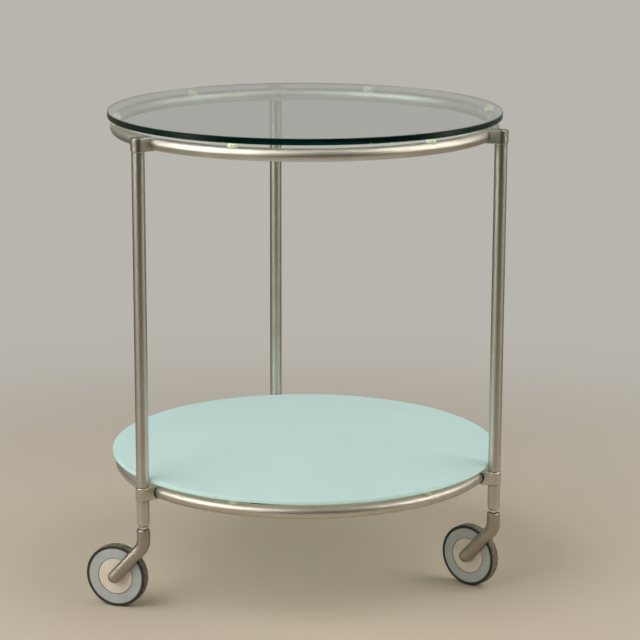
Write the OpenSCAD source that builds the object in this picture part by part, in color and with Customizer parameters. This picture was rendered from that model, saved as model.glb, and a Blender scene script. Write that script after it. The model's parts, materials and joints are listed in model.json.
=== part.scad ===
// Rolling side table: a clear glass top and a frosted glass shelf lie on tube rings.
// Three tube posts stand just outside the rings and end in swivel casters.
// Millimetres. Z is up, the floor is z = 0 and the table's axis is the Z axis.

/* [Table] */
// Height of the top glass's upper face above the floor
table_h = 612; // [560:2:680]
// Diameter of both glass discs
glass_d = 500; // [420:10:600]

/* [Glass] */
// Thickness of the top glass
top_glass_t = 8; // [6:1:12]
// Thickness of the shelf glass
shelf_glass_t = 5; // [4:1:7]
// Radius of the ground edge on both faces of a disc
glass_arris = 1; // [0.3:0.1:1.5]

/* [Rings] */
// Outer diameter of the ring tube
ring_od = 16; // [13:1:19]
// Wall of the ring tube
ring_wall = 1.5; // [1:0.1:2.5]
// How far a glass disc reaches past the ring tube
ring_inset = 3.5; // [2.5:0.5:8]

/* [Posts and feet] */
// Outer diameter of the post tube and the foot tube
post_od = 16; // [15:0.5:20]
// Wall of the post tube and the foot tube
post_wall = 1.5; // [1:0.1:2]
// Gap between the shelf glass's edge and each post
post_gap = 0.7; // [0.3:0.1:1]
// Length of the foot tube between shelf bracket and caster
foot_l = 33; // [27:1:80]
// Chamfer on the cut ends of a post
post_chamfer = 0.8; // [0.2:0.1:0.9]
// Rounding of a foot tube's lower edge
foot_round = 2.8; // [1.5:0.1:3.2]
// Thickness of the foot's rolled-in end
foot_floor = 1.5; // [1:0.1:2.5]
// Diameter of the hole in that end
foot_hole_d = 10.2; // [9.8:0.1:10.8]

/* [Brackets] */
// How far a bracket stands above and below its ring tube
bracket_lip = 0.5; // [0.3:0.1:1.5]
// How far the bracket's barrel stands proud of the post
barrel_proud = 1; // [0.4:0.1:2]
// Chamfer on a bracket's edges
bracket_chamfer = 0.8; // [0.2:0.1:1.2]
// Gap between the shelf ring and the saddles of its brackets
shelf_saddle_gap = 2; // [0.5:0.5:2.5]
// Metal left above the blind hole of a top bracket
bracket_roof = 5; // [3:0.5:7]

/* [Pads] */
// Diameter of a clear pad between ring and glass
pad_d = 13; // [12:0.5:16]
// How far a pad holds the glass above the ring tube
pad_rise = 5; // [3:0.5:5.5]
// Number of pads on each ring
pad_count = 6; // [3:3:6]

/* [Studs, plugs and screws] */
// Diameter of the studs that join post, bracket and foot
stud_d = 8; // [6:0.5:9]
// Length of a stud inside the plug on each side of a shelf bracket
stud_grip = 9; // [6:0.5:10]
// Length of the threaded plug in each end of a post
plug_l = 24; // [16:1:40]
// Metal left under the blind hole of a foot plug
plug_floor = 1.5; // [1:0.5:2.5]
// Diameter of the screws that hold a ring to its brackets
screw_d = 4; // [3:0.5:5]
// Diameter of a countersunk screw head
screw_head_d = 7.6; // [6:0.2:9]
// Length of screw inside the bracket
screw_bite = 5; // [4:0.5:5.5]
// Hexagon socket of a screw, across its corners
screw_socket = 2.8; // [1.5:0.1:3.4]
// Depth of that socket
screw_socket_l = 2.2; // [1:0.1:3]
// Chamfer on the ends of a stud
stud_chamfer = 0.8; // [0.3:0.1:1.5]

/* [Caster stem] */
// Height of the foot tube's lower end above the floor
caster_h = 111.5; // [104:0.5:114]
// Height of the neck between foot and arm
neck_h = 4.5; // [4:0.5:9]
// Diameter of the stem where it turns
stem_d = 8; // [6:0.5:9]
// Diameter of the bright collar in the neck
collar_d = 12; // [11:0.5:15]
// Height of that collar
collar_h = 2.4; // [1.6:0.1:2.7]
// Diameter of the stem where it is pressed into the arm
stem_root_d = 10; // [8:0.5:12]
// Depth of the stem in the arm
stem_root_l = 12; // [8:0.5:16]
// Length of the stem bush inside the foot tube
stem_bush_l = 14; // [10:0.5:14.5]
// How far the bush stands out of the foot
stem_nose = 0.6; // [0.3:0.1:0.9]

/* [Caster arm] */
// Diameter of the arm from its upper end to the bend
arm_d = 17; // [15:0.5:19]
// Diameter of the arm's round lower end
arm_tip_d = 16; // [13:0.5:16.5]
// Distance from the swivel axis back to the wheel's axle
trail = 39.5; // [32:0.5:50]
// Depth of the arm's bend below the arm's upper end
bend_drop = 22.4; // [20:0.2:27]
// Radius of the bend, at the middle of the arm
bend_r = 20; // [14:1:28]
// Sideways reach of the arm's lower end, away from the wheel
arm_side = 6; // [4:0.5:8]
// How far the middle of the arm's round end stops short of the axle
arm_short = 1.5; // [0:0.5:2]
// Rounding of the arm's upper edge
arm_round = 1.8; // [0.5:0.1:2]
// Width of the rim round the cup in the arm's upper end
arm_rim = 2; // [1.2:0.1:2.4]
// Depth of that cup
arm_cup = 1.5; // [0.5:0.1:2.5]
// Length of each straight limb that is sunk in the bend
arm_root = 1; // [0.5:0.1:1.5]
// Play between the tyre and the hollow in the arm
arm_relief = 2; // [1:0.5:4]

/* [Wheel] */
// Diameter over the tyre
wheel_d = 80; // [66:1:90]
// Width of the wheel
wheel_w = 13; // [12:0.5:24]
// Thickness of the rubber tyre
tyre_t = 3.9; // [3:0.1:8]
// Rounding of the tyre's shoulders
tyre_shoulder = 1.5; // [0.5:0.1:2.5]
// Height of the rib that keeps the tyre on the wheel
rib_h = 1.2; // [0.5:0.1:2]
// Width of that rib
rib_w = 5; // [3:0.5:8]
// Diameter of the round caps over the hub
cap_d = 45.6; // [36:0.2:56]
// Thickness of a cap
cap_t = 1.6; // [1:0.1:2.2]
// Groove between a cap and the wheel
cap_groove = 1; // [0.2:0.1:1.2]
// Chamfer on the outer edges of the caps and the wheel's disc
rim_chamfer = 0.5; // [0.2:0.1:0.8]
// Diameter of the three pegs behind a cap
peg_d = 3; // [2:0.5:5]
// Length of those pegs
peg_l = 2.8; // [1.5:0.1:3]
// Distance of the pegs from the axle
peg_r = 15; // [12:0.5:16]

/* [Axle] */
// Diameter of the axle
axle_d = 6; // [5:0.5:7]
// Depth of the axle in the arm
axle_seat = 9; // [6:0.5:10]
// Outer diameter of the wheel's bush
bush_d = 10; // [9.5:0.5:12]
// How far the bush stands out of the wheel towards the arm
bush_proud = 0.7; // [0.3:0.1:2]
// Depth of the pocket for the clip, behind the far cap
pocket_l = 3.2; // [2.8:0.1:4]
// Diameter of that pocket
pocket_d = 15; // [14:0.5:20]

/* [Clips] */
// Thickness of a retaining clip
clip_t = 1; // [0.6:0.1:1.2]
// Width of a clip's rim outside the shaft
clip_rim = 1.8; // [1:0.1:2.2]
// Depth of the groove that holds a clip
clip_groove = 0.8; // [0.4:0.1:1.2]
// Opening of a clip
clip_slot = 3; // [2:0.5:4]
// Length of shaft past its clip
shaft_end = 0.8; // [0.5:0.1:1.2]

/* [Fits] */
// Gap round a piece that is pressed or screwed in
press_gap = 0.03; // [0.01:0.01:0.06]
// Gap round a piece that turns
run_gap = 0.06; // [0.03:0.01:0.1]
// Gap between two faces that slide past each other
face_gap = 0.3; // [0.2:0.1:0.5]
// Gap round a stud or screw in its clearance hole
hole_gap = 0.2; // [0.1:0.05:0.4]

/* [Hidden] */
LEGS = ["left", "right", "back"];
leg_angles = [210, 330, 90];
caster_headings = [151, 132, 140];

glass_r = glass_d / 2;
ring_tube_r = ring_od / 2;
ring_r = glass_r - ring_inset - ring_tube_r;
post_r = post_od / 2;
post_circle_r = glass_r + post_gap + post_r;
post_bore_r = post_r - post_wall;
web_l = post_circle_r - ring_r;

bracket_h = ring_od + 2 * bracket_lip;
barrel_r = post_r + barrel_proud;
foot_top = caster_h + foot_l;
shelf_ring_z = foot_top + bracket_h / 2;
shelf_h = shelf_ring_z + ring_tube_r + pad_rise + shelf_glass_t;
top_ring_z = table_h - top_glass_t - pad_rise - ring_tube_r;
post_top = top_ring_z - bracket_h / 2;
post_foot = shelf_ring_z + bracket_h / 2;

stud_l = bracket_h + 2 * stud_grip - face_gap;
blind_l = bracket_h - bracket_roof;
screw_head_l = (screw_head_d - screw_d) / 2;

arm_top = caster_h - neck_h;
collar_top = caster_h - stem_nose - face_gap;
wheel_r = wheel_d / 2;
bend_z = arm_top - bend_drop;
arm_reach = norm([trail, arm_side]);
arm_yaw = atan2(arm_side, trail);
arm_tilt = atan2(arm_reach, bend_z - wheel_r);
bend_leg = bend_r * tan(arm_tilt / 2);
slope_l = norm([arm_reach, bend_z - wheel_r]) - bend_leg - arm_short;
relief_y = bush_proud + face_gap;
arm_step = 0.06;

core_r = wheel_r - tyre_t;
pocket_z = wheel_w - cap_t - pocket_l;
axle_clip_z = pocket_z + face_gap;
stem_clip_z = caster_h + stem_bush_l + face_gap;

nickel = "#B9B1A3";
bright = "#D8D6D0";
zinc = "#9FA3A6";
clear_green = "#7FA894";
mint = "#BAD0CA";
silicone = "#D9DCB4";
nylon = "#E6E3DA";
grey = "#8F948E";
warm_grey = "#B5ADA0";
black = "#1E1E1F";

// Facets of large and small rounds, the reach of a cut past a face, and a hair's overlap.
smooth = 96;
fine = 48;
past = 1;
eps = 0.01;

// Places: on a post's axis with X pointing outwards, on a swivel axis with X pointing
// back along the trail, and on a wheel's near face with Z pointing through the wheel.
module at_leg(k) rotate([0, 0, leg_angles[k]]) translate([post_circle_r, 0, 0]) children();

module at_caster(k)
    rotate([0, 0, leg_angles[k]])
        translate([post_circle_r, 0, 0])
            rotate([0, 0, caster_headings[k] - leg_angles[k]])
                children();

module at_wheel(k) at_caster(k) translate([trail, 0, wheel_r]) rotate([90, 0, 0]) children();

// A round bar from z1 up to z2.
module bar(r, z1, z2) translate([0, 0, z1]) cylinder(r = r, h = z2 - z1, $fn = smooth);

// A round bar with chamfered ends; c1 and c2 are the lower and upper chamfers.
module chamfered_bar(r, z1, z2, c1, c2)
    rotate_extrude($fn = smooth)
        polygon([[0, z1], [r - c1, z1], [r, z1 + c1], [r, z2 - c2], [r - c2, z2], [0, z2]]);

// The rounded edge, of radius a, of a round bar that ends at z; up is 1 for its upper
// end and -1 for its lower one.
module round_end(r, z, a, up) {
    middle = z - up * a;
    bar(r - a, middle - a, middle + a);
    translate([0, 0, middle])
        rotate_extrude($fn = smooth)
            translate([r - a, 0])
                circle(r = a, $fn = fine);
}

// A disc from z1 up to z2 whose two edges are rounded to radius a.
module rounded_disc(r, z1, z2, a)
    rotate_extrude($fn = 2 * smooth)
        union() {
            translate([0, z1]) square([r - a, z2 - z1]);
            translate([0, z1 + a]) square([r, z2 - z1 - 2 * a]);
            translate([r - a, z1 + a]) circle(r = a, $fn = fine);
            translate([r - a, z2 - a]) circle(r = a, $fn = fine);
        }

// A full ring of round bar at height z, as wide as the ring tubes or wider by 2 * out.
module torus(r, z, out = 0)
    translate([0, 0, z])
        rotate_extrude($fn = 2 * smooth)
            translate([ring_r + out, 0])
                circle(r = r, $fn = fine);

// An open clip lying flat at z, round a groove in a shaft of radius shaft_r.
module clip(shaft_r, z) {
    groove_r = shaft_r - clip_groove;
    difference() {
        bar(shaft_r + clip_rim, z, z + clip_t);
        bar(groove_r + press_gap, z - past, z + clip_t + past);
        translate([0, -clip_slot / 2, z - past]) cube([2 * shaft_r, clip_slot, clip_t + 2 * past]);
    }
}

// The groove that a clip at height z sits in.
module clip_groove_cut(shaft_r, z)
    difference() {
        bar(shaft_r + clip_rim, z - press_gap, z + clip_t + press_gap);
        bar(shaft_r - clip_groove, z - past, z + clip_t + past);
    }

// Glass

module top_glass()
    color(clear_green, 0.45)
        rounded_disc(glass_r, table_h - top_glass_t, table_h, glass_arris);

module shelf_glass()
    color(mint)
        rounded_disc(glass_r, shelf_h - shelf_glass_t, shelf_h, glass_arris);

// Rings, with a clearance hole and a countersink for each bracket's screw.
module ring(z)
    color(nickel)
        difference() {
            torus(ring_tube_r, z);
            torus(ring_tube_r - ring_wall, z);
            for (k = [0:2])
                at_ring_screw(k, z) {
                    bar(screw_d / 2 + hole_gap, -past, ring_od + past);
                    bar(screw_head_d / 2 + hole_gap, -past, 0);
                    screw_head(hole_gap);
                }
        }

// On a ring's inner side, with Z pointing outwards through the tube to a bracket.
module at_ring_screw(k, z)
    rotate([0, 0, leg_angles[k]]) translate([ring_r - ring_tube_r, 0, z]) rotate([0, 90, 0]) children();

// A countersunk head whose flat face is at z = 0, grown sideways by a gap.
module screw_head(gap)
    cylinder(r1 = screw_head_d / 2 + gap, r2 = screw_d / 2 + gap, h = screw_head_l, $fn = smooth);

// How far a ring's screw reaches, from the ring's inner side, across a gap into the bracket.
function screw_tip(gap) = ring_od + gap + screw_bite;

module ring_screw(gap)
    difference() {
        union() {
            bar(screw_d / 2, 0, screw_tip(gap));
            screw_head(0);
        }
        translate([0, 0, -past]) cylinder(d = screw_socket, h = screw_socket_l + past, $fn = 6);
    }

module ring_screws()
    color(zinc)
        for (k = [0:2]) {
            at_ring_screw(k, top_ring_z) ring_screw(0);
            at_ring_screw(k, shelf_ring_z) ring_screw(shelf_saddle_gap);
        }

// Pads: a ball of clear silicone, flat under the glass and hollowed by the ring tube.
module pads(z, glass_z)
    color(silicone)
        for (i = [0:pad_count - 1])
            rotate([0, 0, i * 360 / pad_count])
                difference() {
                    translate([ring_r, 0, z + ring_tube_r]) sphere(d = pad_d, $fn = fine);
                    translate([ring_r - pad_d, -pad_d, glass_z]) cube([2 * pad_d, 2 * pad_d, pad_d]);
                    torus(ring_tube_r + press_gap, z);
                }

// Brackets: an upright barrel in line with the post, and a web as wide as the barrel
// that ends in a saddle round the outer half of the ring tube, or a gap away from it.
module bracket_blank(k, z, gap) {
    c = bracket_chamfer;
    h = bracket_h;
    at_leg(k)
        translate([0, 0, z]) {
            chamfered_bar(barrel_r, -h / 2, h / 2, c, c);
            rotate([90, 0, -90])
                linear_extrude(height = web_l - gap)
                    polygon([[-barrel_r + c, -h / 2], [barrel_r - c, -h / 2],
                             [barrel_r, -h / 2 + c], [barrel_r, h / 2 - c],
                             [barrel_r - c, h / 2], [-barrel_r + c, h / 2],
                             [-barrel_r, h / 2 - c], [-barrel_r, -h / 2 + c]]);
        }
}

module bracket(k, z, hole_z1, hole_z2, hole_r, gap)
    color(nickel)
        difference() {
            bracket_blank(k, z, gap);
            torus(ring_tube_r + press_gap, z, gap);
            at_leg(k) bar(hole_r, z + hole_z1, z + hole_z2);
            at_ring_screw(k, z) bar(screw_d / 2 + press_gap, ring_tube_r, screw_tip(gap) + face_gap);
        }

// The stud's hole is blind under the roof of a top bracket.
module top_bracket(k)
    bracket(k, top_ring_z, -bracket_h / 2 - past, blind_l - bracket_h / 2, stud_d / 2 + press_gap, 0);

// The stud passes right through a shelf bracket.
module shelf_bracket(k)
    bracket(k, shelf_ring_z, -bracket_h / 2 - past, bracket_h / 2 + past, stud_d / 2 + hole_gap,
            shelf_saddle_gap);

// Posts and feet

module post(k)
    color(nickel)
        at_leg(k)
            difference() {
                chamfered_bar(post_r, post_foot, post_top, post_chamfer, post_chamfer);
                bar(post_bore_r, post_foot - past, post_top + past);
            }

// The lower end of a foot is rolled in under the stem bush, whose nose stands out of it.
module foot(k)
    color(nickel)
        at_leg(k)
            difference() {
                union() {
                    chamfered_bar(post_r, caster_h + foot_round, foot_top, 0, post_chamfer);
                    round_end(post_r, caster_h, foot_round, -1);
                }
                bar(post_bore_r, caster_h + foot_floor, foot_top + past);
                bar(foot_hole_d / 2, caster_h - past, foot_top + past);
            }

// Threaded plugs: open ones in both ends of a post, a blind one in the top of a foot.
module post_plugs()
    color(zinc)
        for (k = [0:2])
            at_leg(k)
                for (z = [post_foot, post_top - plug_l])
                    difference() {
                        bar(post_bore_r - press_gap, z, z + plug_l);
                        bar(stud_d / 2 + press_gap, z - past, z + plug_l + past);
                    }

module foot_plugs()
    color(zinc)
        for (k = [0:2])
            at_leg(k)
                difference() {
                    bar(post_bore_r - press_gap, foot_top - stud_grip - plug_floor, foot_top);
                    bar(stud_d / 2 + press_gap, foot_top - stud_grip, foot_top + past);
                }

module joining_studs()
    color(zinc)
        for (k = [0:2])
            at_leg(k)
                for (z = [foot_top - stud_grip + face_gap, post_top + blind_l - face_gap - stud_l])
                    chamfered_bar(stud_d / 2, z, z + stud_l, stud_chamfer, stud_chamfer);

// Caster stem: a bush pressed in the foot, and a pin that turns in it.

module stem_bush(k)
    color(nylon)
        at_caster(k)
            difference() {
                union() {
                    bar(post_bore_r - press_gap, caster_h + foot_floor, caster_h + stem_bush_l);
                    bar(foot_hole_d / 2 - press_gap, caster_h - stem_nose, caster_h + foot_floor + eps);
                }
                bar(stem_d / 2 + run_gap, caster_h - stem_nose - past, caster_h + stem_bush_l + past);
            }

module stem(k)
    color(bright)
        at_caster(k)
            difference() {
                union() {
                    bar(stem_root_d / 2, arm_top - stem_root_l, collar_top);
                    bar(collar_d / 2, collar_top - collar_h, collar_top);
                    bar(stem_d / 2, arm_top, stem_clip_z + clip_t + shaft_end);
                }
                clip_groove_cut(stem_d / 2, stem_clip_z);
            }

module stem_clip(k) color(zinc) at_caster(k) clip(stem_d / 2, stem_clip_z);

// Caster arm: a round bar that drops from the stem, bends back along the trail and
// ends in a half ball beside the hub. Its upper end has a rounded rim round a shallow cup,
// and it is hollowed on the side where the wheel runs.
module arm(k)
    color(nickel)
        difference() {
            at_caster(k) rotate([0, 0, arm_yaw]) arm_bar();
            at_wheel(k) bar(wheel_r + arm_relief, -relief_y, wheel_w);
            at_wheel(k) bar(axle_d / 2 + press_gap, -relief_y - axle_seat, 0);
            at_caster(k) bar(stem_root_d / 2 + press_gap, arm_top - stem_root_l - face_gap, arm_top + past);
            at_caster(k) bar(arm_d / 2 - arm_rim, arm_top - arm_cup, arm_top + past);
        }

module arm_bar() {
    r = arm_d / 2;
    bar(r - arm_step, bend_z + bend_leg - arm_root, arm_top - arm_round);
    round_end(r - arm_step, arm_top, arm_round, 1);
    translate([bend_r, 0, bend_z + bend_leg])
        rotate([90, 0, 0])
            rotate([0, 0, 180])
                rotate_extrude(angle = arm_tilt, $fn = smooth)
                    translate([bend_r, 0])
                        circle(r = r, $fn = smooth);
    translate([bend_leg * sin(arm_tilt), 0, bend_z - bend_leg * cos(arm_tilt)])
        rotate([0, 180 - arm_tilt, 0])
            tapered_limb(r - arm_step, arm_tip_d / 2);
}

// Both straight limbs are a hair thinner than the bend, so that their roots stay inside it.
module tapered_limb(r1, r2)
    rotate_extrude($fn = smooth)
        union() {
            polygon([[0, -arm_root], [r1, -arm_root], [r2, slope_l], [0, slope_l]]);
            intersection() {
                translate([0, slope_l]) circle(r = r2, $fn = smooth);
                translate([0, slope_l]) square(2 * r2);
            }
        }

module axle(k)
    color(zinc)
        at_wheel(k)
            difference() {
                bar(axle_d / 2, face_gap - relief_y - axle_seat, axle_clip_z + clip_t + shaft_end);
                clip_groove_cut(axle_d / 2, axle_clip_z);
            }

module axle_clip(k) color(zinc) at_wheel(k) clip(axle_d / 2, axle_clip_z);

// Wheel: a grey disc with a rubber tyre, a bush at its hub and a cap on each face.
module wheel(k)
    color(grey)
        at_wheel(k)
            difference() {
                union() {
                    chamfered_bar(core_r, 0, wheel_w, rim_chamfer, rim_chamfer);
                    rib(0);
                }
                bar(cap_d / 2 + cap_groove, -past, cap_t);
                bar(cap_d / 2 + cap_groove, wheel_w - cap_t, wheel_w + past);
                bar(pocket_d / 2, pocket_z, wheel_w);
                bar(bush_d / 2 + press_gap, -past, wheel_w);
                pegs(press_gap, 0, cap_t + peg_l + face_gap);
                pegs(press_gap, wheel_w - cap_t - peg_l - face_gap, wheel_w);
            }

// The rib round the wheel, grown by a gap to cut the tyre's groove.
module rib(gap)
    bar(core_r + rib_h + gap, (wheel_w - rib_w) / 2 - gap, (wheel_w + rib_w) / 2 + gap);

module pegs(gap, z1, z2)
    for (i = [0:2])
        rotate([0, 0, 120 * i]) translate([peg_r, 0, 0]) bar(peg_d / 2 + gap, z1, z2);

module tyre(k)
    color(black)
        at_wheel(k)
            difference() {
                rounded_disc(wheel_r, 0, wheel_w, tyre_shoulder);
                bar(core_r + press_gap, -past, wheel_w + past);
                rib(press_gap);
            }

module wheel_bush(k)
    color(nylon)
        at_wheel(k)
            difference() {
                bar(bush_d / 2, -bush_proud, pocket_z);
                bar(axle_d / 2 + run_gap, -bush_proud - past, pocket_z + past);
            }

module near_cap(k)
    color(warm_grey)
        at_wheel(k)
            difference() {
                union() {
                    chamfered_bar(cap_d / 2, 0, cap_t, rim_chamfer, 0);
                    pegs(0, cap_t - eps, cap_t + peg_l);
                }
                bar(bush_d / 2 + hole_gap, -past, cap_t + past);
            }

module far_cap(k)
    color(warm_grey)
        at_wheel(k) {
            chamfered_bar(cap_d / 2, wheel_w - cap_t, wheel_w, 0, rim_chamfer);
            pegs(0, wheel_w - cap_t - peg_l, wheel_w - cap_t + eps);
        }

top_glass();
shelf_glass();
ring(top_ring_z);  // top_ring
ring(shelf_ring_z);  // shelf_ring
pads(top_ring_z, table_h - top_glass_t);  // top_pads
pads(shelf_ring_z, shelf_h - shelf_glass_t);  // shelf_pads
ring_screws();
joining_studs();
post_plugs();
foot_plugs();
for (k = [0:2]) {
    top_bracket(k);
    shelf_bracket(k);
    post(k);
    foot(k);
    stem_bush(k);
    stem(k);
    stem_clip(k);
    arm(k);
    axle(k);
    axle_clip(k);
    wheel(k);
    wheel_bush(k);
    tyre(k);
    near_cap(k);
    far_cap(k);
}
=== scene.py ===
# %% [markdown]
# # A glass side table on casters
#
# The table is built in real sizes elsewhere, and arrives here as a fixed frame: glass discs,
# tube rings, posts, brackets and three casters. This file gives it its finishes, its light
# and a camera. Metal and glass show little colour of their own. They show the room, so most
# of the work is in what stands round the table.

# %% Load the frame
import json
import math

import bpy
from mathutils import Euler, Matrix, Vector


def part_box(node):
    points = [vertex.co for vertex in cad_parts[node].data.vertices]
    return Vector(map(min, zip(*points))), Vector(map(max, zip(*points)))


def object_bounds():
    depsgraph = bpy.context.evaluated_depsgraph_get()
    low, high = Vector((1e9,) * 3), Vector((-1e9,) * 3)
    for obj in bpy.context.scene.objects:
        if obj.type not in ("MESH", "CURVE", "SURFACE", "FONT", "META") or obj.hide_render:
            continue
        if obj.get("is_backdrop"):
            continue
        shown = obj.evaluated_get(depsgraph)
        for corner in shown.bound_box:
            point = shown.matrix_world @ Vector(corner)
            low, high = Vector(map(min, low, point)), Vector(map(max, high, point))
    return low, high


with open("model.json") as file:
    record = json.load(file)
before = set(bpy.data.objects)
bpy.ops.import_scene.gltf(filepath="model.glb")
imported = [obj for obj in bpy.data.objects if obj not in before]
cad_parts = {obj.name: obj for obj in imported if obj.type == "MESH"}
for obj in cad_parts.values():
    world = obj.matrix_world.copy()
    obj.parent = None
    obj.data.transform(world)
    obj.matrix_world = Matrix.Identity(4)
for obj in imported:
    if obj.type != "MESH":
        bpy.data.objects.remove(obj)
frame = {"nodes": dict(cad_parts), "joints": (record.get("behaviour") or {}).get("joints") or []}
nodes = frame["nodes"]
cad_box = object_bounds()
LEGS = ("left", "right", "back")
MM = 0.001
print("height in mm:", round(cad_box[1].z / MM, 1))

# %% [markdown]
# ## Colours and nodes
#
# Paint charts and photographs give colours as sRGB hex values, while Blender's shaders work
# in linear light, so one function turns the one into the other. A second one adds a node,
# sets its inputs and makes its links in one go, which keeps each material short. Blender's
# noise pattern gives values that lie mostly between 0.3 and 0.7, and a Map Range node turns
# them into whatever a finish needs.


# %% Helpers for colours and nodes
def srgb(hex_colour):
    """A colour such as "#C8C0B2" in linear light."""
    channels = [int(hex_colour[i:i + 2], 16) / 255 for i in (1, 3, 5)]
    linear = [c / 12.92 if c <= 0.04045 else ((c + 0.055) / 1.055) ** 2.4 for c in channels]
    return (*linear, 1.0)


def add(tree, kind, inputs=None, **settings):
    """A new node. An input takes a value, a hex colour, an output, or a node for its first output."""
    node = tree.nodes.new("ShaderNode" + kind)
    for name, value in settings.items():
        setattr(node, name, value)
    for name, value in (inputs or {}).items():
        if isinstance(value, bpy.types.Node):
            value = next(output for output in value.outputs if output.enabled)
        if isinstance(value, bpy.types.NodeSocket):
            tree.links.new(value, node.inputs[name])
        else:
            node.inputs[name].default_value = srgb(value) if isinstance(value, str) else value
    return node


def new_material(name):
    """An empty material with its tree and the place in the table's own coordinates."""
    material = bpy.data.materials.new(name)
    material.use_nodes = True
    tree = material.node_tree
    tree.nodes.clear()
    return material, tree, add(tree, "TexCoord").outputs["Object"]


NOISE = {"From Min": 0.3, "From Max": 0.7}
print("middle grey in linear light:", round(srgb("#808080")[0], 3))

# %% [markdown]
# ## Where a pattern lies
#
# Fine lines come from a noise pattern whose coordinates are squeezed one way and stretched
# the other. On a straight post the tube's direction is Z. On a ring it follows the circle, so
# the position is first unrolled into the distance from the table's axis, the height, and the
# distance along the circle, and the ring then lies along Z too.

# %% Coordinates round the table's axis
RING_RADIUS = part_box("top_ring")[1].x


def unrolled(tree, place):
    """The distance from the table's axis, the height, and the length along the ring's circle."""
    x, y, z = add(tree, "SeparateXYZ", {0: place}).outputs
    level = add(tree, "CombineXYZ", {0: x, 1: y})
    radius = add(tree, "VectorMath", {0: level}, operation="LENGTH")
    angle = add(tree, "Math", {0: y, 1: x}, operation="ARCTAN2")
    distance = add(tree, "Math", {0: angle, 1: RING_RADIUS}, operation="MULTIPLY")
    return add(tree, "CombineXYZ", {0: radius, 1: z, 2: distance})


print("a ring unrolls to a length in mm of", round(2 * math.pi * RING_RADIUS / MM))

# %% [markdown]
# ## Satin nickel
#
# The tubes, brackets, feet and arms are steel, plated with nickel. Nickel is a warm, slightly
# yellow grey metal. The tubes were ground round and round before plating, so their scratches
# circle the tube. Such scratches smear a reflection along the tube and keep it sharp across
# it: each lamp becomes a long stripe. That is what the shader's anisotropy does, once its
# tangent points along the tube. The brackets and arms are finished all over alike and have
# none. The arms' nickel is given a darker and duller colour.
#
# Real scratches are about 0.05 mm wide, too fine to show, so they are drawn more than 1 mm
# wide and very faint. Where hands have touched the metal it is a little duller, in patches.

# %% The plated metals
NICKEL, NICKEL_DULL = "#D0CBC1", "#C3BDB2"
# The arms' nickel is given a darker, duller colour.
ARM_NICKEL, ARM_NICKEL_DULL = "#B1AA9E", "#A39C90"
SCRATCH_W, SCRATCH_L, SCRATCH_DEPTH = 1.2, 20, 0.0002
HANDLING = 35
SCRATCHES_VARY, HANDLING_VARIES = 0.015, 0.02
SMEAR = 0.3
QUARTER_TURN = 0.25


def satin_nickel(name, shape, rough, colours=(NICKEL, NICKEL_DULL)):
    """Nickel on an upright tube, on a ring round the table's axis, or on a solid piece."""
    material, tree, place = new_material(name)
    length = SCRATCH_W if shape == "solid" else SCRATCH_L
    scale = (1 / (length * MM), 1 / (length * MM), 1 / (SCRATCH_W * MM))
    source = unrolled(tree, place) if shape == "ring" else place
    lines = add(tree, "VectorMath", {0: source, 1: scale}, operation="MULTIPLY")
    scratches = add(tree, "TexNoise", {"Vector": lines, "Scale": 1.0, "Detail": 2.0})
    smudges = add(tree, "TexNoise", {"Vector": place, "Scale": 1 / (HANDLING * MM), "Detail": 2.0})
    handled = add(tree, "MapRange", {"Value": smudges, **NOISE})
    colour = add(tree, "Mix", {0: handled, 6: colours[0], 7: colours[1]}, data_type="RGBA")
    ground = add(tree, "MapRange", {
        "Value": scratches, **NOISE,
        "To Min": rough - SCRATCHES_VARY, "To Max": rough + SCRATCHES_VARY})
    greasy = add(tree, "MapRange", {
        "Value": smudges, **NOISE, "To Min": -HANDLING_VARIES, "To Max": HANDLING_VARIES})
    metal = add(tree, "BsdfPrincipled", {
        "Base Color": colour, "Metallic": 1.0,
        "Roughness": add(tree, "Math", {0: ground, 1: greasy}, operation="ADD"),
        "Normal": add(tree, "Bump", {"Height": scratches, "Distance": SCRATCH_DEPTH * MM})})
    if shape != "solid":
        # The radial tangent runs along a ring but round a post, so there it takes a quarter turn.
        round_the_axis = add(tree, "Tangent", direction_type="RADIAL", axis="Z")
        turn = QUARTER_TURN if shape == "upright" else 0.0
        tree.links.new(round_the_axis.outputs[0], metal.inputs["Tangent"])
        metal.inputs["Anisotropic"].default_value = SMEAR
        metal.inputs["Anisotropic Rotation"].default_value = turn
    add(tree, "OutputMaterial", {"Surface": metal})
    return material


nickel_tube = satin_nickel("ground_satin_nickel_tube", "upright", rough=0.33)
nickel_ring = satin_nickel("ground_satin_nickel_ring", "ring", rough=0.42)
nickel_bracket = satin_nickel("polished_satin_nickel", "solid", rough=0.3)
nickel_arm = satin_nickel(
    "darker_arm_nickel", "solid", rough=0.37, colours=(ARM_NICKEL, ARM_NICKEL_DULL))
print("nickel finishes:", nickel_tube.name, nickel_ring.name, nickel_bracket.name, nickel_arm.name)

# %% [markdown]
# ## Bright and zinc-plated steel
#
# The swivel pin's collar shows in the neck between foot and arm. It is turned and polished
# steel, nearly a mirror. The screws, studs, clips and axles are zinc-plated: a cooler, bluer
# grey, with a faint grain of crystals about a millimetre across. The polish varies a little
# with wipe marks, and the zinc from crystal to crystal.

# %% Polished and plated steel
BRIGHT_STEEL = "#DAD9D4"
ZINC, ZINC_DULL = "#B4B9BC", "#9CA1A4"
WIPE_MARK, CRYSTAL = 6, 1.2


def polished_steel():
    material, tree, place = new_material("polished_steel")
    wipe_marks = add(tree, "TexNoise", {"Vector": place, "Scale": 1 / (WIPE_MARK * MM)})
    wiped = add(tree, "MapRange", {"Value": wipe_marks, **NOISE, "To Min": 0.07, "To Max": 0.14})
    metal = add(tree, "BsdfPrincipled", {
        "Base Color": BRIGHT_STEEL, "Metallic": 1.0, "Roughness": wiped})
    add(tree, "OutputMaterial", {"Surface": metal})
    return material


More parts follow.
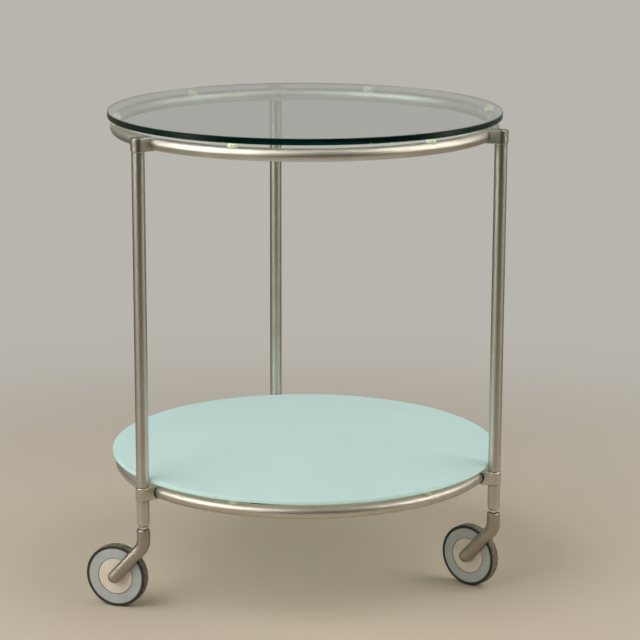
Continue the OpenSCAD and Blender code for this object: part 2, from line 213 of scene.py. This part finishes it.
def zinc_plated_steel():
    material, tree, place = new_material("zinc_plated_steel")
    crystals = add(tree, "TexVoronoi", {"Vector": place, "Scale": 1 / (CRYSTAL * MM)})
    metal = add(tree, "BsdfPrincipled", {
        "Base Color": add(tree, "Mix", {0: crystals, 6: ZINC, 7: ZINC_DULL}, data_type="RGBA"),
        "Metallic": 1.0,
        "Roughness": add(tree, "MapRange", {"Value": crystals, "To Min": 0.28, "To Max": 0.4})})
    add(tree, "OutputMaterial", {"Surface": metal})
    return material


bright_steel = polished_steel()
zinc_steel = zinc_plated_steel()
print("steel finishes:", bright_steel.name, zinc_steel.name)

# %% [markdown]
# ## Clear float glass
#
# Window and table glass holds a little iron, which takes out red light and some blue. Across
# 8 mm the loss is hardly seen, but light that leaves by the edge has crossed up to half a
# metre of it and comes out deep green. So the tint is an absorption inside the volume, per
# metre, and not a colour on the surface. Lamps are let straight through, because the bright
# patterns that glass throws would take very long to render.

# %% The top disc's glass
GLASS_IOR = 1.52
GLASS_TINT, GLASS_LOSS_PER_METRE, GLASS_FOR_LAMPS = "#55C4BC", 12.0, "#EEF5F1"


def lit_through(tree, surface, colour):
    """Lets lamps through a surface in this colour, so that what lies behind it is lit."""
    for_lamps = add(tree, "BsdfTransparent", {"Color": colour})
    shadow_ray = add(tree, "LightPath").outputs["Is Shadow Ray"]
    return add(tree, "MixShader", {0: shadow_ray, 1: surface, 2: for_lamps})


def clear_float_glass():
    material, tree, _ = new_material("clear_float_glass")
    glass = add(tree, "BsdfPrincipled", {
        "Base Color": "#FFFFFF", "Roughness": 0.0, "IOR": GLASS_IOR, "Transmission Weight": 1.0})
    inside = add(tree, "VolumeAbsorption", {"Color": GLASS_TINT, "Density": GLASS_LOSS_PER_METRE})
    surface = lit_through(tree, glass, GLASS_FOR_LAMPS)
    add(tree, "OutputMaterial", {"Surface": surface, "Volume": inside})
    return material


float_glass = clear_float_glass()
print("clear glass, IOR", GLASS_IOR)

# %% [markdown]
# ## Satin glass with a painted back
#
# The shelf is a pale disc that hides what is under it: satin glass, painted mint on its back.
# Seen from above it is an even, soft sheet of colour. Its edge is cut glass, so there the
# colour is a little greener. From below the back of the paint is coloured nearly white, a
# painted glow for light that comes through the paint from above. The three are told apart
# by height within the disc. The paint is thin and lets some real light through as well, so
# the underside also takes real light and the floor below stays light.

# %% The shelf disc's glass
# The underside's near-white colour is a painted glow, for light that comes through the paint from
# above.
MINT, MINT_WORN, MINT_EDGE, UNDERSIDE_PAINTED_GLOW = "#C2E2E6", "#BEDEE2", "#BFE6E2", "#F0EDE4"
MINT_THROUGH, THROUGH_COLOUR, MINT_FOR_LAMPS = 0.4, "#E6F2F1", "#98938B"
FACE_DEPTH, PAINT_CLOUD, SATIN_GRAIN, SATIN_DEPTH = 0.3, 120, 0.8, 0.004
shelf_low, shelf_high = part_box("shelf_glass")


def painted_satin_glass():
    material, tree, place = new_material("satin_glass_painted_mint")
    height = add(tree, "SeparateXYZ", {0: place}).outputs["Z"]
    on_top = add(tree, "MapRange", {
        "Value": height, "From Min": shelf_high.z - FACE_DEPTH * MM, "From Max": shelf_high.z})
    above_underside_glow = add(tree, "MapRange", {
        "Value": height, "From Min": shelf_low.z, "From Max": shelf_low.z + FACE_DEPTH * MM})
    clouds = add(tree, "TexNoise", {"Vector": place, "Scale": 1 / (PAINT_CLOUD * MM)})
    worn = add(tree, "MapRange", {"Value": clouds, **NOISE})
    sheet = add(tree, "Mix", {0: worn, 6: MINT, 7: MINT_WORN}, data_type="RGBA")
    rim_or_sheet = add(tree, "Mix", {0: on_top, 6: MINT_EDGE, 7: sheet}, data_type="RGBA")
    # Painted glow: the underside is coloured nearly white.
    colour = add(tree, "Mix", {0: above_underside_glow, 6: UNDERSIDE_PAINTED_GLOW, 7: rim_or_sheet}, data_type="RGBA")
    fine = add(tree, "TexNoise", {"Vector": place, "Scale": 1 / (SATIN_GRAIN * MM)})
    glass = add(tree, "BsdfPrincipled", {
        "Base Color": colour, "IOR": GLASS_IOR,
        "Roughness": add(tree, "MapRange", {"Value": fine, **NOISE, "To Min": 0.34, "To Max": 0.44}),
        "Normal": add(tree, "Bump", {"Height": fine, "Distance": SATIN_DEPTH * MM})})
    through = add(tree, "BsdfTranslucent", {"Color": THROUGH_COLOUR})
    surface = add(tree, "MixShader", {0: MINT_THROUGH, 1: glass, 2: through})
    add(tree, "OutputMaterial", {"Surface": lit_through(tree, surface, MINT_FOR_LAMPS)})
    return material


mint_glass = painted_satin_glass()
print("shelf glass thickness in mm:", round((shelf_high.z - shelf_low.z) / MM, 2))

# %% [markdown]
# ## Silicone, nylon, hard plastic and rubber
#
# The pads under the glass are clear silicone that has yellowed with age. The bushes are
# natural nylon. The wheel's disc and its caps are moulded plastic with a fine, slightly
# glossy grain. The tyre is soft black rubber. Its sidewalls stay clean and dark, while dust
# from the floor clings in patches to the tread between them, which faces away from the axle.

# %% Clear silicone and nylon
SILICONE, NATURAL_NYLON = "#EDF0D2", "#E2DED2"
SILICONE_HAZE, NYLON_GRAIN = 3, 0.6


def clear_silicone():
    material, tree, place = new_material("yellowed_clear_silicone")
    haze = add(tree, "TexNoise", {"Vector": place, "Scale": 1 / (SILICONE_HAZE * MM)})
    gel = add(tree, "BsdfPrincipled", {
        "Base Color": SILICONE, "IOR": 1.41, "Transmission Weight": 0.6,
        "Roughness": add(tree, "MapRange", {"Value": haze, **NOISE, "To Min": 0.15, "To Max": 0.3})})
    add(tree, "OutputMaterial", {"Surface": gel})
    return material


def natural_nylon():
    material, tree, place = new_material("natural_nylon")
    grain = add(tree, "TexNoise", {"Vector": place, "Scale": 1 / (NYLON_GRAIN * MM)})
    plastic = add(tree, "BsdfPrincipled", {
        "Base Color": NATURAL_NYLON, "IOR": 1.53,
        "Subsurface Weight": 0.1, "Subsurface Scale": 2 * MM,
        "Roughness": add(tree, "MapRange", {"Value": grain, **NOISE, "To Min": 0.38, "To Max": 0.5})})
    add(tree, "OutputMaterial", {"Surface": plastic})
    return material


silicone, nylon = clear_silicone(), natural_nylon()
print("soft plastics:", silicone.name, nylon.name)

# %% The wheels' plastic and rubber
DISC_GREY, DISC_WORN = "#A3A8A3", "#9A9F9A"
CAP_GREY, CAP_WORN = "#CFC5B4", "#C4BAA9"
RUBBER, TREAD_DUST = "#26241F", "#8C8271"
PLASTIC_GRAIN, PLASTIC_DEPTH, WEAR = 0.5, 0.01, 12
RUBBER_GRAIN, RUBBER_DEPTH, DUST_PATCH = 0.7, 0.03, 4
TREAD_UP_TO, SIDEWALL_FROM, MOST_DUST = 0.3, 0.8, 0.9


def moulded_plastic(name, colour, worn):
    """Hard plastic with a fine grain and faint clouds of wear."""
    material, tree, place = new_material(name)
    grain = add(tree, "TexNoise", {"Vector": place, "Scale": 1 / (PLASTIC_GRAIN * MM)})
    clouds = add(tree, "TexNoise", {"Vector": place, "Scale": 1 / (WEAR * MM), "Detail": 4.0})
    rubbed = add(tree, "MapRange", {"Value": clouds, **NOISE})
    plastic = add(tree, "BsdfPrincipled", {
        "Base Color": add(tree, "Mix", {0: rubbed, 6: colour, 7: worn}, data_type="RGBA"), "IOR": 1.5,
        "Roughness": add(tree, "MapRange", {"Value": clouds, **NOISE, "To Min": 0.38, "To Max": 0.5}),
        "Normal": add(tree, "Bump", {"Height": grain, "Distance": PLASTIC_DEPTH * MM})})
    add(tree, "OutputMaterial", {"Surface": plastic})
    return material


def tyre_rubber(leg):
    """Rubber for one wheel, because the tread is found from the direction of its own axle."""
    material, tree, place = new_material("dusty_black_rubber_" + leg)
    axle = next(joint["axis"] for joint in frame["joints"] if joint["name"] == "roll_" + leg)
    outwards = add(tree, "TexCoord").outputs["Normal"]
    facing = add(tree, "VectorMath", {0: outwards, 1: axle}, operation="DOT_PRODUCT")
    sideways = add(tree, "Math", {0: facing.outputs["Value"]}, operation="ABSOLUTE")
    tread = add(tree, "MapRange", {
        "Value": sideways, "From Min": TREAD_UP_TO, "From Max": SIDEWALL_FROM,
        "To Min": 1.0, "To Max": 0.0})
    patches = add(tree, "TexNoise", {"Vector": place, "Scale": 1 / (DUST_PATCH * MM), "Detail": 4.0})
    dust = add(tree, "MapRange", {"Value": patches, **NOISE, "To Min": 0.0, "To Max": MOST_DUST})
    dust_on_tread = add(tree, "Math", {0: dust, 1: tread}, operation="MULTIPLY")
    grain = add(tree, "TexNoise", {"Vector": place, "Scale": 1 / (RUBBER_GRAIN * MM), "Detail": 4.0})
    soft_black = add(tree, "BsdfPrincipled", {
        "Base Color": add(tree, "Mix", {0: dust_on_tread, 6: RUBBER, 7: TREAD_DUST}, data_type="RGBA"),
        "IOR": 1.52,
        "Roughness": add(tree, "MapRange", {"Value": grain, **NOISE, "To Min": 0.6, "To Max": 0.8}),
        "Normal": add(tree, "Bump", {"Height": grain, "Distance": RUBBER_DEPTH * MM})})
    add(tree, "OutputMaterial", {"Surface": soft_black})
    return material


disc_plastic = moulded_plastic("moulded_grey_plastic", DISC_GREY, DISC_WORN)
cap_plastic = moulded_plastic("moulded_warm_grey_plastic", CAP_GREY, CAP_WORN)
tyre_rubbers = {leg: tyre_rubber(leg) for leg in LEGS}
print("wheel finishes:", disc_plastic.name, cap_plastic.name)
print("tyre finishes:", *[rubber.name for rubber in tyre_rubbers.values()])

# %% [markdown]
# ## Dressing the nodes
#
# The frame's pieces already have their final shape, so they only change material. A table
# of piece to finish keeps that in one place, and the loop fails at once if a name is wrong.

# %% Finishes of the frame's pieces
FINISHES = {
    "top_glass": float_glass, "shelf_glass": mint_glass,
    "top_ring": nickel_ring, "shelf_ring": nickel_ring,
    "top_pads": silicone, "shelf_pads": silicone,
    "ring_screws": zinc_steel, "joining_studs": zinc_steel,
    "post_plugs": zinc_steel, "foot_plugs": zinc_steel,
}
LEG_FINISHES = {
    "top_bracket": nickel_bracket, "shelf_bracket": nickel_bracket, "post": nickel_tube,
    "foot": nickel_tube, "stem_bush": nylon, "stem": bright_steel, "stem_clip": zinc_steel,
    "arm": nickel_arm, "axle": zinc_steel, "axle_clip": zinc_steel, "wheel": disc_plastic,
    "wheel_bush": nylon, "near_cap": cap_plastic, "far_cap": cap_plastic,
}
for leg in LEGS:
    FINISHES["tyre_" + leg] = tyre_rubbers[leg]
    for part, material in LEG_FINISHES.items():
        FINISHES[part + "_" + leg] = material
for name, material in FINISHES.items():
    nodes[name].data.materials.clear()
    nodes[name].data.materials.append(material)
print("dressed nodes:", len(FINISHES), "of", len(nodes))

# %% [markdown]
# ## The studio floor
#
# The table stands on a paper sweep: beige-grey in front, rising to a light grey wall. A flat
# disc does the same from every side. Near the table it is real paper, which takes the
# light and holds the shadow. Further out it fades into an even glow that only the camera,
# reflections and glass see, so the wall never lights the table.
#
# Metal needs more than that, because metal with one pale tone on all sides looks like
# plastic. So what has been mirrored gets tones of its own, by how far forward or back it
# lies, on the floor and in the room alike. These tones are painted light and shade of the
# studio, which only reflections see: dark behind the camera, pale beside the table and dim
# beyond it. The dark end gives each post its brown core. On the floor the middle is a
# little darker than the sides, a painted shade for the table's own shadow.
#
# The top glass mirrors the room as well. Seen from behind the table it would mirror the dark
# end and turn nearly black, so its outer face shows one tone of the room from all sides.

# %% What metal mirrors
# Painted light and shade of the studio's floor and room, which only rays off metal see.
# On the floor the number is Y in metres, and in the room it is the Y of the ray's direction.
# Y is negative on the camera's side of the table.
FLOOR_PAINTED_LIGHT_AND_SHADE = {
    -2.6: "#24221D", -2.2: "#433F38", -1.6: "#8A8679", -0.9: "#C0BBAC",
    -0.3: "#9C988B", 0.1: "#7E7A70", 0.5: "#605D56", 2.5: "#6A6762",
}
ROOM_IN_GLASS = "#B0ADA7"
ROOM_PAINTED_LIGHT_AND_SHADE = {
    -1.0: "#2A2823", -0.9: "#4A463F", -0.6: "#6F6B63", -0.3: "#8F8B83", 0.1: "#85827C",
    0.35: "#5E5B56", 0.6: "#6A6762", 0.93: "#7A7772", 0.96: ROOM_IN_GLASS, 1.0: ROOM_IN_GLASS,
}


def is_mirrored(tree):
    """1 for rays that have been off metal or a glass face, also if they went through glass since."""
    times = add(tree, "LightPath").outputs["Glossy Depth"]
    return add(tree, "Math", {0: times, 1: 0.5}, operation="GREATER_THAN")


def is_off_glass(tree):
    """1 for rays that the outer face of a glass disc sends back, and 0 for those that enter it."""
    path = add(tree, "LightPath").outputs
    outside = add(tree, "Math", {0: path["Transmission Depth"], 1: 0.5}, operation="LESS_THAN")
    return add(tree, "Math", {0: path["Is Singular Ray"], 1: outside}, operation="MULTIPLY")


def seen_directly(tree):
    """1 for rays from the camera, off metal or through glass, and 0 for those that gather light."""
    path = add(tree, "LightPath").outputs
    first = add(tree, "Math", {0: path["Is Camera Ray"], 1: path["Is Glossy Ray"]}, operation="MAXIMUM")
    return add(tree, "Math", {0: first, 1: path["Is Transmission Ray"]}, operation="MAXIMUM")


def tones_along_y(tree, place, tones):
    """A colour that goes by Y, from the first tone on the camera's side to the last on the far side."""
    lowest, highest = min(tones), max(tones)
    towards_back = add(tree, "SeparateXYZ", {0: place}).outputs["Y"]
    along = add(tree, "MapRange", {"Value": towards_back, "From Min": lowest, "From Max": highest})
    ramp = add(tree, "ValToRGB", {0: along})
    stops = ramp.color_ramp.elements
    stops.remove(stops[1])
    stops[0].color = srgb(tones[lowest])
    for y, colour in tones.items():
        if y > lowest:
            stops.new((y - lowest) / (highest - lowest)).color = srgb(colour)
    return ramp


print("tones in metal, floor and room:", len(FLOOR_PAINTED_LIGHT_AND_SHADE), len(ROOM_PAINTED_LIGHT_AND_SHADE))

# %% Floor and backdrop
PAPER_NEAR, PAPER_MIDDLE, PAPER_FAR = "#B5AB9A", "#B5ADA1", "#B8B5AE"
NEAR_TO, MIDDLE_AT, FAR_FROM = 0.35, 0.7, 1.4
GLOW_FROM, GLOW_TO = 0.6, 1.2
# SHADE_IN_METAL is a painted shade: it darkens the middle of the floor seen in metal, for the table's
# own shadow.
SHADE_IN_METAL, SHADE_FROM, SHADE_TO = "#C4C2BE", 0.4, 1.0
FLOOR_RADIUS = 40.0


def paper_sweep():
    material, tree, place = new_material("studio_paper")
    distance = add(tree, "VectorMath", {0: place}, operation="LENGTH").outputs["Value"]
    to_middle = add(tree, "MapRange", {"Value": distance, "From Min": NEAR_TO, "From Max": MIDDLE_AT})
    to_far = add(tree, "MapRange", {"Value": distance, "From Min": MIDDLE_AT, "From Max": FAR_FROM})
    near = add(tree, "Mix", {0: to_middle, 6: PAPER_NEAR, 7: PAPER_MIDDLE}, data_type="RGBA")
    colour = add(tree, "Mix", {0: to_far, 6: near, 7: PAPER_FAR}, data_type="RGBA")
    paper = add(tree, "BsdfPrincipled", {
        "Base Color": colour, "Roughness": 0.9, "Specular IOR Level": 0.1})
    across = add(tree, "SeparateXYZ", {0: place}).outputs["X"]
    sideways = add(tree, "Math", {0: across}, operation="ABSOLUTE")
    in_painted_shade = add(tree, "MapRange", {
        "Value": sideways, "From Min": SHADE_TO, "From Max": SHADE_FROM})
    # The floor's painted light and shade, seen only in metal.
    tones = tones_along_y(tree, place, FLOOR_PAINTED_LIGHT_AND_SHADE)
    # Painted shade of the table, on the floor seen in metal.
    mirrored = add(tree, "Mix", {
        0: in_painted_shade, 6: tones, 7: SHADE_IN_METAL}, data_type="RGBA", blend_type="MULTIPLY")
    seen = add(tree, "Mix", {0: is_mirrored(tree), 6: colour, 7: mirrored}, data_type="RGBA")
    glow = add(tree, "Emission", {"Color": seen})
    faded = add(tree, "MapRange", {
        "Value": distance, "From Min": GLOW_FROM, "From Max": GLOW_TO},
        interpolation_type="SMOOTHSTEP")
    share = add(tree, "Math", {0: faded, 1: seen_directly(tree)}, operation="MULTIPLY")
    add(tree, "OutputMaterial", {"Surface": add(tree, "MixShader", {0: share, 1: paper, 2: glow})})
    return material


def floor_disc():
    """A flat disc with rings of faces, finer near the table."""
    radii = (0.5, 1.0, 2.0, 5.0, 12.0, FLOOR_RADIUS)
    steps = 48
    turns = [2 * math.pi * i / steps for i in range(steps)]
    points = [(0, 0, 0)] + [(r * math.cos(a), r * math.sin(a), 0) for r in radii for a in turns]
    faces = [(0, 1 + i, 1 + (i + 1) % steps) for i in range(steps)]
    for ring in range(len(radii) - 1):
        inner, outer = 1 + ring * steps, 1 + (ring + 1) * steps
        for i in range(steps):
            j = (i + 1) % steps
            faces.append((inner + i, outer + i, outer + j, inner + j))
    mesh = bpy.data.meshes.new("studio_floor")
    mesh.from_pydata(points, [], faces)
    disc = bpy.data.objects.new("studio_floor", mesh)
    bpy.context.scene.collection.objects.link(disc)
    disc.data.materials.append(paper_sweep())
    disc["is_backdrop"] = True
    return disc


floor = floor_disc()
print("floor radius in m:", FLOOR_RADIUS, "faces:", len(floor.data.polygons))

# %% [markdown]
# ## Light
#
# Two softboxes, each about four times as tall as the table, stand to its left and right and
# a little in front of it. Each one draws a long white band on the tubes, and together they
# fill each other's shadows. The rest of the light is soft and comes from all round, more from
# the sides than from above.

# %% The world
SOFT_SIDES, SOFT_TOP = 0.68, 0.2
SIDES_TO, TOP_FROM = 0.1, 0.9


def studio_world():
    """The wall's colour for what is seen, and for what is lit a soft level that falls with height."""
    world = bpy.data.worlds.new("studio_world")
    world.use_nodes = True
    tree = world.node_tree
    tree.nodes.clear()
    way = add(tree, "TexCoord").outputs["Generated"]
    height = add(tree, "SeparateXYZ", {0: way}).outputs["Z"]
    # Rays off metal see the room's painted light and shade, by direction.
    tones = tones_along_y(tree, way, ROOM_PAINTED_LIGHT_AND_SHADE)
    mirrored = add(tree, "Mix", {0: is_off_glass(tree), 6: tones, 7: ROOM_IN_GLASS}, data_type="RGBA")
    wall = add(tree, "Mix", {0: is_mirrored(tree), 6: PAPER_FAR, 7: mirrored}, data_type="RGBA")
    seen = add(tree, "Background", {"Color": wall, "Strength": 1.0})
    level = add(tree, "MapRange", {
        "Value": height, "From Min": SIDES_TO, "From Max": TOP_FROM,
        "To Min": SOFT_SIDES, "To Max": SOFT_TOP})
    lights = add(tree, "Background", {"Color": "#FFFFFF", "Strength": level})
    both = add(tree, "MixShader", {0: seen_directly(tree), 1: lights, 2: seen})
    add(tree, "OutputWorld", {"Surface": both})
    bpy.context.scene.world = world


studio_world()
print("soft light from the sides and from above:", SOFT_SIDES, SOFT_TOP)

# %% [markdown]
# ## Softboxes that glass doesn't show
#
# Cycles finds a lamp in two ways: each surface aims rays at it, and a mirrored ray may hit it
# by chance. The second way is what multiple importance sampling adds. It is off here, so the
# satin metal still shows the lamps as soft bands, by the first way, while smooth glass, which
# has only the second, doesn't show two white panels. The camera itself doesn't see them.

# %% The softboxes
AIM = Vector((0, 0, 0.5))


def softbox(name, azimuth, distance, middle, width, height, watts, colour):
    """A lamp that faces the table. Azimuth 0 is in front, on the camera's side, and 90 is right."""
    lamp = bpy.data.lights.new(name, "AREA")
    lamp.shape = "RECTANGLE"
    lamp.size, lamp.size_y = width, height
    lamp.energy = watts
    lamp.color = srgb(colour)[:3]
    holder = bpy.data.objects.new(name, lamp)
    bpy.context.scene.collection.objects.link(holder)
    a = math.radians(azimuth)
    holder.location = (distance * math.sin(a), -distance * math.cos(a), middle)
    holder.rotation_euler = (holder.location - AIM).to_track_quat("Z", "Y").to_euler()
    holder.visible_camera = False
    lamp.cycles.use_multiple_importance_sampling = False
    return holder


left_box = softbox("left_softbox", -68, 1.75, 1.6, 2.2, 2.5, 52, "#FFFCF8")
right_box = softbox("right_softbox", 72, 1.75, 1.6, 2.0, 2.4, 34, "#FFF9F2")
for box in (left_box, right_box):
    print(box.name, "stands at", [round(v, 2) for v in box.location])

# %% [markdown]
# ## Camera
#
# The camera stands about three metres away and looks a little down. Its place was found by
# fitting the table's known sizes to the picture: the two discs' outlines give its height
# and distance, and the three posts give its heading.

# %% The camera
# Places in metres, angles in degrees, and the lens and sensor in mm.
CAMERA_PLACE = (-0.4672, -2.9397, 1.0356)
HEADING, PITCH, ROLL = 9.41, -13.21, 0.18
LENS, SENSOR = 132.97, 36.0


def photo_camera():
    data = bpy.data.cameras.new("camera")
    data.sensor_width = SENSOR
    data.lens = LENS
    data.clip_end = 5 * FLOOR_RADIUS
    camera = bpy.data.objects.new("camera", data)
    bpy.context.scene.collection.objects.link(camera)
    camera.location = CAMERA_PLACE
    level = Euler([math.radians(v) for v in (90 + PITCH, 0, -HEADING)]).to_matrix()
    rolled = level @ Matrix.Rotation(math.radians(ROLL), 3, "Z")
    camera.rotation_euler = rolled.to_euler()
    bpy.context.scene.camera = camera
    return camera


camera = photo_camera()
print("camera distance in m:", round(camera.location.length, 3))

# %% [markdown]
# ## Bounces in the glass
#
# A ray that goes in at one edge of a glass disc bounces many times before it leaves, and one
# that is cut off too soon comes back black. So the limits on bounces are high.

# %% View and bounces
scene = bpy.context.scene
scene.view_settings.view_transform = "Standard"
scene.cycles.max_bounces = 24
scene.cycles.glossy_bounces = 20
scene.cycles.transmission_bounces = 24
scene.cycles.transparent_max_bounces = 16
print("bounces through glass:", scene.cycles.transmission_bounces)

# %% [markdown]
# ## Size at the end
#
# The dressed table has to stay as large as the frame, so the largest difference between
# the two boxes is printed.

# %% Sizes and the end
seen_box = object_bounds()
growth = max(abs(a - b) for m, n in zip(cad_box, seen_box) for a, b in zip(m, n))
print("largest growth in mm:", round(growth / MM, 3))
